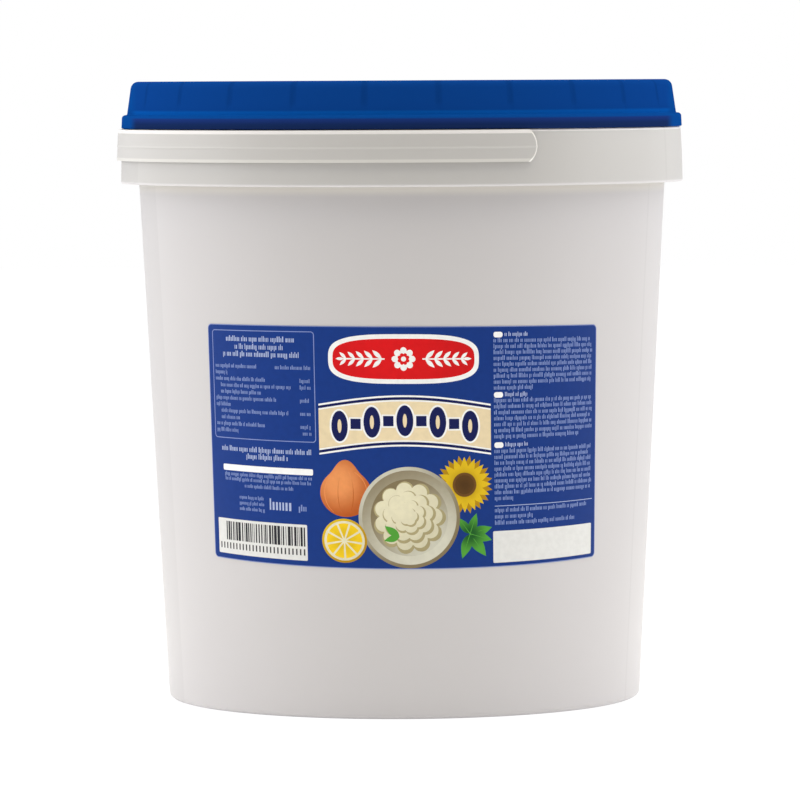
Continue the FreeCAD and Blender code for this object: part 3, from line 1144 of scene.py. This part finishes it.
def draw_lemon(art, centre, radius):
    """Half a lemon: peel, pith and segments."""
    squash = 0.96
    art.oval("peel", centre, radius, radius * squash, steps=56)
    art.oval("pith", centre, radius * 0.9, radius * 0.86, steps=48)
    count = 9
    arc_steps = 5
    half = math.pi / count * 0.84
    for k in range(count):
        lean = math.tau * (k + 0.3) / count
        loop = [Vector(centre) + heading(lean) * radius * 0.1]
        for step in range(arc_steps + 1):
            rim = heading(between(lean - half, lean + half, step / arc_steps)) * radius * 0.79
            loop.append(Vector(centre) + Vector((rim.x, rim.y * squash)))
        art.shape("segment", loop)


def draw_onion(art, centre, radius):
    """Onion with its neck and a few skin lines."""
    half_height = radius * 0.9
    steps = 12
    thick = Vector((0.16, 0.0))

    def bulb(direction):
        """Reach of a round bulb that draws up into a neck."""
        up = max(0.0, math.cos(direction - math.pi / 2))
        return 1.0 + 0.42 * up ** 14

    art.oval("onion", centre, radius, half_height, steps=80, wave=bulb)
    for lean in (-0.55, -0.2, 0.2, 0.55):
        line = []
        for k in range(steps + 1):
            up = between(-0.82, 0.9, k / steps)
            reach = math.sqrt(max(0.0, 1 - up * up)) * lean * 1.5
            line.append(Vector(centre) + Vector((reach * radius, up * half_height)))
        there = [point + thick for point in line]
        back = [point - thick for point in reversed(line)]
        art.shape("onion_line", there + back)


def draw_dish(art, centre, radius):
    """Round dish seen from above, with a piped rosette of sauce."""
    art.oval("dish", centre, radius, radius, steps=96)
    art.oval("dish_rim", centre, radius * 0.93, radius * 0.93, steps=96)
    art.oval("dish_well", centre, radius * 0.76, radius * 0.76, steps=88)
    layers = ((0.72, 11, 0.0), (0.53, 9, 0.2), (0.35, 7, 0.45), (0.19, 5, 0.1))
    for share, lobes, turn in layers:
        size = radius * share
        art.rosette("sauce_fold", centre, size, lobes, 0.16, turn)
        lifted = (centre[0] - 0.45, centre[1] + 0.55)
        art.rosette("sauce", lifted, size * 0.93, lobes, 0.16, turn)


def draw_picture(art):
    """Plain kitchen picture: a dish of sauce, an onion, half a lemon, a sunflower and leaves."""
    sprig = ((0.25, 10.5), (1.25, 9.5), (2.2, 9.0), (-1.9, 11.5), (-0.95, 12.5), (-0.3, 10.5))
    for lean, size in sprig:
        art.leaf(SPRIG, size, lean)
    draw_onion(art, ONION, 11.6)
    draw_flower(art, FLOWER, 12.8)
    draw_dish(art, DISH, 22.4)
    draw_lemon(art, LEMON, 10.2)
    for lean, size in ((2.5, 8.0), (3.4, 7.0)):
        art.leaf((DISH[0] - 4.5, DISH[1] - 8.5), size, lean)


def draw_label(sizes):
    """The whole print, on a blue ground inside a pale outline."""
    art = Artwork()
    rounding = sizes.rounding / MM
    art.framed_box("outline", "ground", -PRINT_HALF, PRINT_FOOT, PRINT_HALF, PRINT_TOP, 0.35, rounding)
    draw_table(art)
    draw_bars(art)
    draw_right_column(art)
    draw_plaque(art)
    draw_band(art)
    draw_picture(art)
    return art


def label_inks(inks):
    """Materials of the label by ink name."""
    def near(centre, du, dv):
        """A place beside the middle of a thing in the picture."""
        return (centre[0] + du, centre[1] + dv)

    even = ("outline", "text", "faint", "white", "panel", "navy", "bars")
    made = {name: ink(name, getattr(inks, name)) for name in even}
    fading = {
        "ground": (inks.ground, scaled(inks.ground, 0.9), (-70, 160), 190),
        "cream": (inks.cream, scaled(inks.cream, 0.93), (0, 130), 46),
        "red": (inks.red, scaled(inks.red, 0.86), (-6, 163), 36),
        "dish": (inks.dish, inks.dish_shade, near(DISH, -12, 16), 42),
        "dish_rim": (scaled(inks.dish, 1.1), inks.dish_shade, near(DISH, 6, -14), 44),
        "dish_well": (inks.dish, inks.dish_shade, near(DISH, 12, -16), 36),
        "sauce": (inks.sauce, scaled(inks.sauce, 0.82), near(DISH, -6, 9), 26),
        "sauce_fold": (inks.sauce_shade, scaled(inks.sauce_shade, 0.8), near(DISH, -8, 10), 30),
        "onion": (inks.orange, inks.orange_shade, near(ONION, -3, 5), 16),
        "onion_line": (inks.orange_shade, inks.orange, near(ONION, 2, -4), 14),
        "peel": (inks.gold, inks.gold_shade, near(LEMON, -4, 5), 17),
        "pith": (inks.sauce, scaled(inks.sauce, 0.9), near(LEMON, -3, 3), 14),
        "segment": (inks.gold, scaled(inks.gold, 1.25), LEMON, 9),
        "petal_back": (inks.seed, inks.gold_shade, FLOWER, 9),
        "petal_front": (inks.gold_shade, inks.gold, FLOWER, 9),
        "seed_rim": (inks.seed, scaled(inks.seed, 1.5), FLOWER, 6),
        "seeds": (scaled(inks.seed, 0.8), inks.seed, FLOWER, 4),
        "leaf": (inks.leaf_shade, inks.leaf, SPRIG, 9),
        "leaf_vein": (scaled(inks.leaf, 1.2), inks.leaf, SPRIG, 12),
    }
    for name, (light, dark, centre, reach) in fading.items():
        made[name] = ink(name, light, dark, centre, reach)
    return made


def on_wall(sizes, u, v, lift):
    """Place in space of a point of the print, stretched over the label's outline and lifted."""
    across = u / PRINT_HALF
    up = (v - PRINT_FOOT) / PRINT_HEIGHT
    left = Vector(sizes.bottom_left).lerp(Vector(sizes.top_left), up)
    right = Vector(sizes.bottom_right).lerp(Vector(sizes.top_right), up)
    along, height = left.lerp(right, (across + 1) / 2)
    height += (1 - across ** 2) * between(-sizes.bottom_bow, sizes.top_bow, up)
    radius = wall_radius(height)
    return around(along / radius, radius + lift, height)


def flat_triangles(points, edges, outlines):
    """Triangles inside outlines drawn in the plane: their points, the triangles, the first points
    that each point comes from, and the outlines that each triangle lies in."""
    inside_only = 1
    merge_distance = 1e-4
    found = delaunay_2d_cdt(points, edges, outlines, inside_only, merge_distance, True)
    return found[0], found[2], found[3], found[5]


def grid_lines():
    """Upright lines across the print, on a pitch counted from its middle."""
    last = math.ceil(PRINT_HALF / LABEL_GRID) - 1
    places = [k * LABEL_GRID for k in range(-last, last + 1)]
    return [(Vector((u, PRINT_FOOT)), Vector((u, PRINT_TOP))) for u in places]


def boundary_loop(mesh):
    """Vertices round the open edge of a flat mesh, in order."""
    following = {}
    for edge in mesh.edges:
        if edge.is_boundary:
            loop = edge.link_loops[0]
            following[loop.vert] = loop.link_loop_next.vert
    start = next(iter(following))
    ring = [start]
    while following[ring[-1]] != start:
        ring.append(following[ring[-1]])
    return ring


def back_columns(flat):
    """Pairs of places in a panel's outline that an upright grid line joins across its back."""
    close = 1e-3
    low = min(point.x for point in flat)
    high = max(point.x for point in flat)
    columns = {}
    for i, point in enumerate(flat):
        line = round(point.x / LABEL_GRID)
        if abs(point.x - line * LABEL_GRID) < close and low + close < point.x < high - close:
            columns.setdefault(line, []).append(i)
    return [tuple(ends) for ends in columns.values() if len(ends) == 2]


def label_panel(name, sizes, verts, triangles, inks, materials):
    """One upright panel of the label: printed face, cut edge, and back sunk a little into the wall."""
    sunk = -0.03 * MM
    mesh = bmesh.new()
    place = mesh.verts.layers.float_vector.new("label_place")
    made = {}

    def vertex(point, lift):
        """Vertex of the panel, which keeps its place on the label."""
        new = mesh.verts.new(on_wall(sizes, point[0], point[1], lift))
        new[place] = (point[0], point[1], 0.0)
        return new

    for triangle, ink_index in zip(triangles, inks):
        for i in triangle:
            if i not in made:
                made[i] = vertex(verts[i], sizes.thickness)
        face = mesh.faces.new([made[i] for i in triangle])
        face.material_index = ink_index
    ring = boundary_loop(mesh)
    flat = [Vector(corner[place][:2]) for corner in ring]
    backs = [vertex(point, sunk) for point in flat]
    bridge(mesh, backs, ring)
    found, faces, origins, _ = flat_triangles(flat, back_columns(flat), [list(range(len(flat)))])
    back_of = []
    for point, origin in zip(found, origins):
        back_of.append(backs[origin[0]] if origin else vertex(point, sunk))
    for face in faces:
        mesh.faces.new([back_of[i] for i in reversed(face)])
    made_piece = piece(name, mesh, materials, "bucket", "label_film", "label")
    smooth_print(made_piece, len(triangles))


def smooth_print(made, front_count):
    """Gives the printed face the wall's own normals."""
    data = made.data
    draft = bpy.context.scene.tub_sizes.draft
    normals = []
    for polygon in data.polygons:
        for loop in polygon.loop_indices:
            if polygon.index >= front_count:
                normals.append(polygon.normal.copy())
                continue
            point = data.vertices[data.loops[loop].vertex_index].co
            outward = Vector((point.x, point.y, 0)).normalized()
            normals.append(outward * math.cos(draft) - UP * math.sin(draft))
    data.normals_split_custom_set(normals)


class BUCKET_OT_label(bpy.types.Operator):
    """Make the printed label in three upright panels"""
    bl_idname = "bucket.label"
    bl_label = "Label"

    def execute(self, context):
        sizes = context.scene.label_sizes
        art = draw_label(sizes)
        points = list(art.points)
        edges = []
        for ends in grid_lines():
            edges.append((len(points), len(points) + 1))
            points += ends
        verts, triangles, _, origins = flat_triangles(points, edges, art.loops)
        names = sorted(set(art.inks))
        inks = label_inks(context.scene.print_colours)
        materials = [inks[name] for name in names]
        panels = (
            ("label_left", -PRINT_HALF, -PANEL_SPLIT),
            ("label_front", -PANEL_SPLIT, PANEL_SPLIT),
            ("label_right", PANEL_SPLIT, PRINT_HALF),
        )
        for name, low, high in panels:
            chosen = []
            chosen_inks = []
            for triangle, shapes in zip(triangles, origins):
                middle = sum(verts[i][0] for i in triangle) / len(triangle)
                if low < middle <= high and shapes:
                    chosen.append(triangle)
                    chosen_inks.append(names.index(art.inks[max(shapes)]))
            label_panel(name, sizes, verts, chosen, chosen_inks, materials)
        return {"FINISHED"}


# Stage

def make_floor(studio):
    """Plain white floor, which keeps the object's shadow."""
    mesh = bmesh.new()
    bmesh.ops.create_grid(mesh, x_segments=1, y_segments=1, size=studio.floor_size / 2)
    data = bpy.data.meshes.new("floor")
    mesh.to_mesh(data)
    mesh.free()
    floor = bpy.data.objects.new("floor", data)
    bpy.context.scene.collection.objects.link(floor)
    material = bpy.data.materials.new("floor_white")
    graph = Graph(material)
    place = graph.add("ShaderNodeTexCoord", output="Object")
    away = graph.add("ShaderNodeVectorMath", {"operation": "LENGTH"}, {0: place}, output="Value")
    near = 1 - away.ramp(0.4 * studio.glow_reach, 1.6 * studio.glow_reach)
    glow = graph.blend(BLACK, WHITE, near)
    shaded = graph.add("ShaderNodeBsdfPrincipled", {}, {
        "Base Color": scaled(WHITE, 0.82),
        "Roughness": 1.0,
        "Specular IOR Level": 0.0,
        "Emission Color": glow,
        "Emission Strength": studio.floor_glow,
    })
    white = graph.add("ShaderNodeEmission", {}, {"Color": WHITE, "Strength": studio.floor_white})
    camera = graph.add("ShaderNodeLightPath", output="Is Camera Ray")
    share = camera * (1 - studio.shadow)
    seen = graph.add("ShaderNodeMixShader", {}, {0: share, 1: shaded, 2: white})
    graph.add("ShaderNodeOutputMaterial", {}, {"Surface": seen})
    data.materials.append(material)


def make_world(studio):
    """Pale surroundings, brightest to the sides, with a dim front. Seen directly they are white.

    Each section starts at a distance back, from -1 straight to the front to 1 straight behind."""
    soften = 0.12
    brightest = 4.0
    world = bpy.data.worlds.new("studio")
    bpy.context.scene.world = world
    graph = Graph(world)
    direction = graph.add("ShaderNodeTexCoord", output="Generated")
    depth = graph.add("ShaderNodeSeparateXYZ", {}, {"Vector": direction}, output="Y")
    height = depth.output("Z")
    backward = depth / depth.math("SQRT", 1 - height * height)
    right = depth.output("X").ramp(-0.1, 0.1)
    front_side = studio.front_left + right * (studio.front_right - studio.front_left)
    back_side = studio.back_left + right * (studio.back_right - studio.back_left)
    sections = ((-0.85, front_side), (-0.35, studio.side), (0.3, back_side), (0.8, studio.back))
    strength = previous = studio.front
    for start, section in sections:
        step = section - previous
        strength = strength + backward.ramp(start - soften, start + soften) * step
        previous = section
    strength = strength + height.ramp(0.5, 0.8) * (studio.top - strength)
    surroundings = graph.blend(BLACK, scaled(WHITE, brightest), strength / brightest)
    lit = graph.add("ShaderNodeBackground", {}, {"Color": surroundings})
    white = graph.add("ShaderNodeBackground", {}, {"Color": WHITE})
    camera = graph.add("ShaderNodeLightPath", output="Is Camera Ray")
    seen = graph.add("ShaderNodeMixShader", {}, {0: camera, 1: lit, 2: white})
    graph.add("ShaderNodeOutputWorld", {}, {"Surface": seen})


def make_key(studio):
    """Softbox overhead, a little to the front."""
    lamp = bpy.data.lights.new("key", "AREA")
    lamp.shape = "SQUARE"
    lamp.size = studio.key_size
    lamp.energy = studio.key_power
    lamp.color = studio.key_colour
    key = bpy.data.objects.new("key", lamp)
    bpy.context.scene.collection.objects.link(key)
    key.location = (0, -studio.key_forward, studio.key_height)
    key.visible_camera = False
    key.visible_glossy = False


def make_camera(studio):
    """Camera in front of the label, looking slightly down."""
    data = bpy.data.cameras.new("camera")
    data.lens = studio.lens
    data.sensor_width = 36.0
    camera = bpy.data.objects.new("camera", data)
    bpy.context.scene.collection.objects.link(camera)
    place = Matrix.Translation((0, -studio.distance, studio.height))
    aim = Matrix.Rotation(studio.turn, 4, "Z") @ Matrix.Rotation(math.pi / 2 - studio.tilt, 4, "X")
    camera.matrix_world = place @ aim @ Matrix.Rotation(studio.roll, 4, "Z")
    bpy.context.scene.camera = camera


class BUCKET_OT_stage(bpy.types.Operator):
    """Make the floor, the surroundings, the lamp and the camera"""
    bl_idname = "bucket.stage"
    bl_label = "Stage"

    def execute(self, context):
        studio = context.scene.studio_settings
        make_floor(studio)
        make_world(studio)
        make_key(studio)
        make_camera(studio)
        context.scene.view_settings.view_transform = "Standard"
        return {"FINISHED"}


class BUCKET_PT_panel(bpy.types.Panel):
    """Buttons and settings of the bucket"""
    bl_label = "Bucket"
    bl_idname = "BUCKET_PT_panel"
    bl_space_type = "VIEW_3D"
    bl_region_type = "UI"
    bl_category = "Bucket"

    def draw(self, context):
        for operator in OPERATORS:
            self.layout.operator(operator.bl_idname)
        for name in GROUPS:
            settings = getattr(context.scene, name)
            box = self.layout.box()
            for key in settings.bl_rna.properties.keys():
                if key not in ("rna_type", "name"):
                    box.prop(settings, key)


GROUPS = {
    "tub_sizes": TubSizes,
    "lid_sizes": LidSizes,
    "strap_sizes": StrapSizes,
    "label_sizes": LabelSizes,
    "plastic_colours": PlasticColours,
    "print_colours": PrintColours,
    "studio_settings": StudioSettings,
}
OPERATORS = (BUCKET_OT_tub, BUCKET_OT_lid, BUCKET_OT_handle, BUCKET_OT_label, BUCKET_OT_stage)


def register():
    """Registers the classes and gives each group of settings its place on the scene."""
    for item in (*GROUPS.values(), *OPERATORS, BUCKET_PT_panel):
        bpy.utils.register_class(item)
    for name, group in GROUPS.items():
        setattr(bpy.types.Scene, name, PointerProperty(type=group))


def unregister():
    """Takes the settings and the classes away again."""
    for name in GROUPS:
        delattr(bpy.types.Scene, name)
    for item in (BUCKET_PT_panel, *reversed(OPERATORS), *reversed(GROUPS.values())):
        bpy.utils.unregister_class(item)


def main():
    """Makes every piece and the stage."""
    register()
    bpy.ops.bucket.stage()
    bpy.ops.bucket.tub()
    bpy.ops.bucket.lid()
    bpy.ops.bucket.handle()
    bpy.ops.bucket.label()


if __name__ == "__main__":
    main()
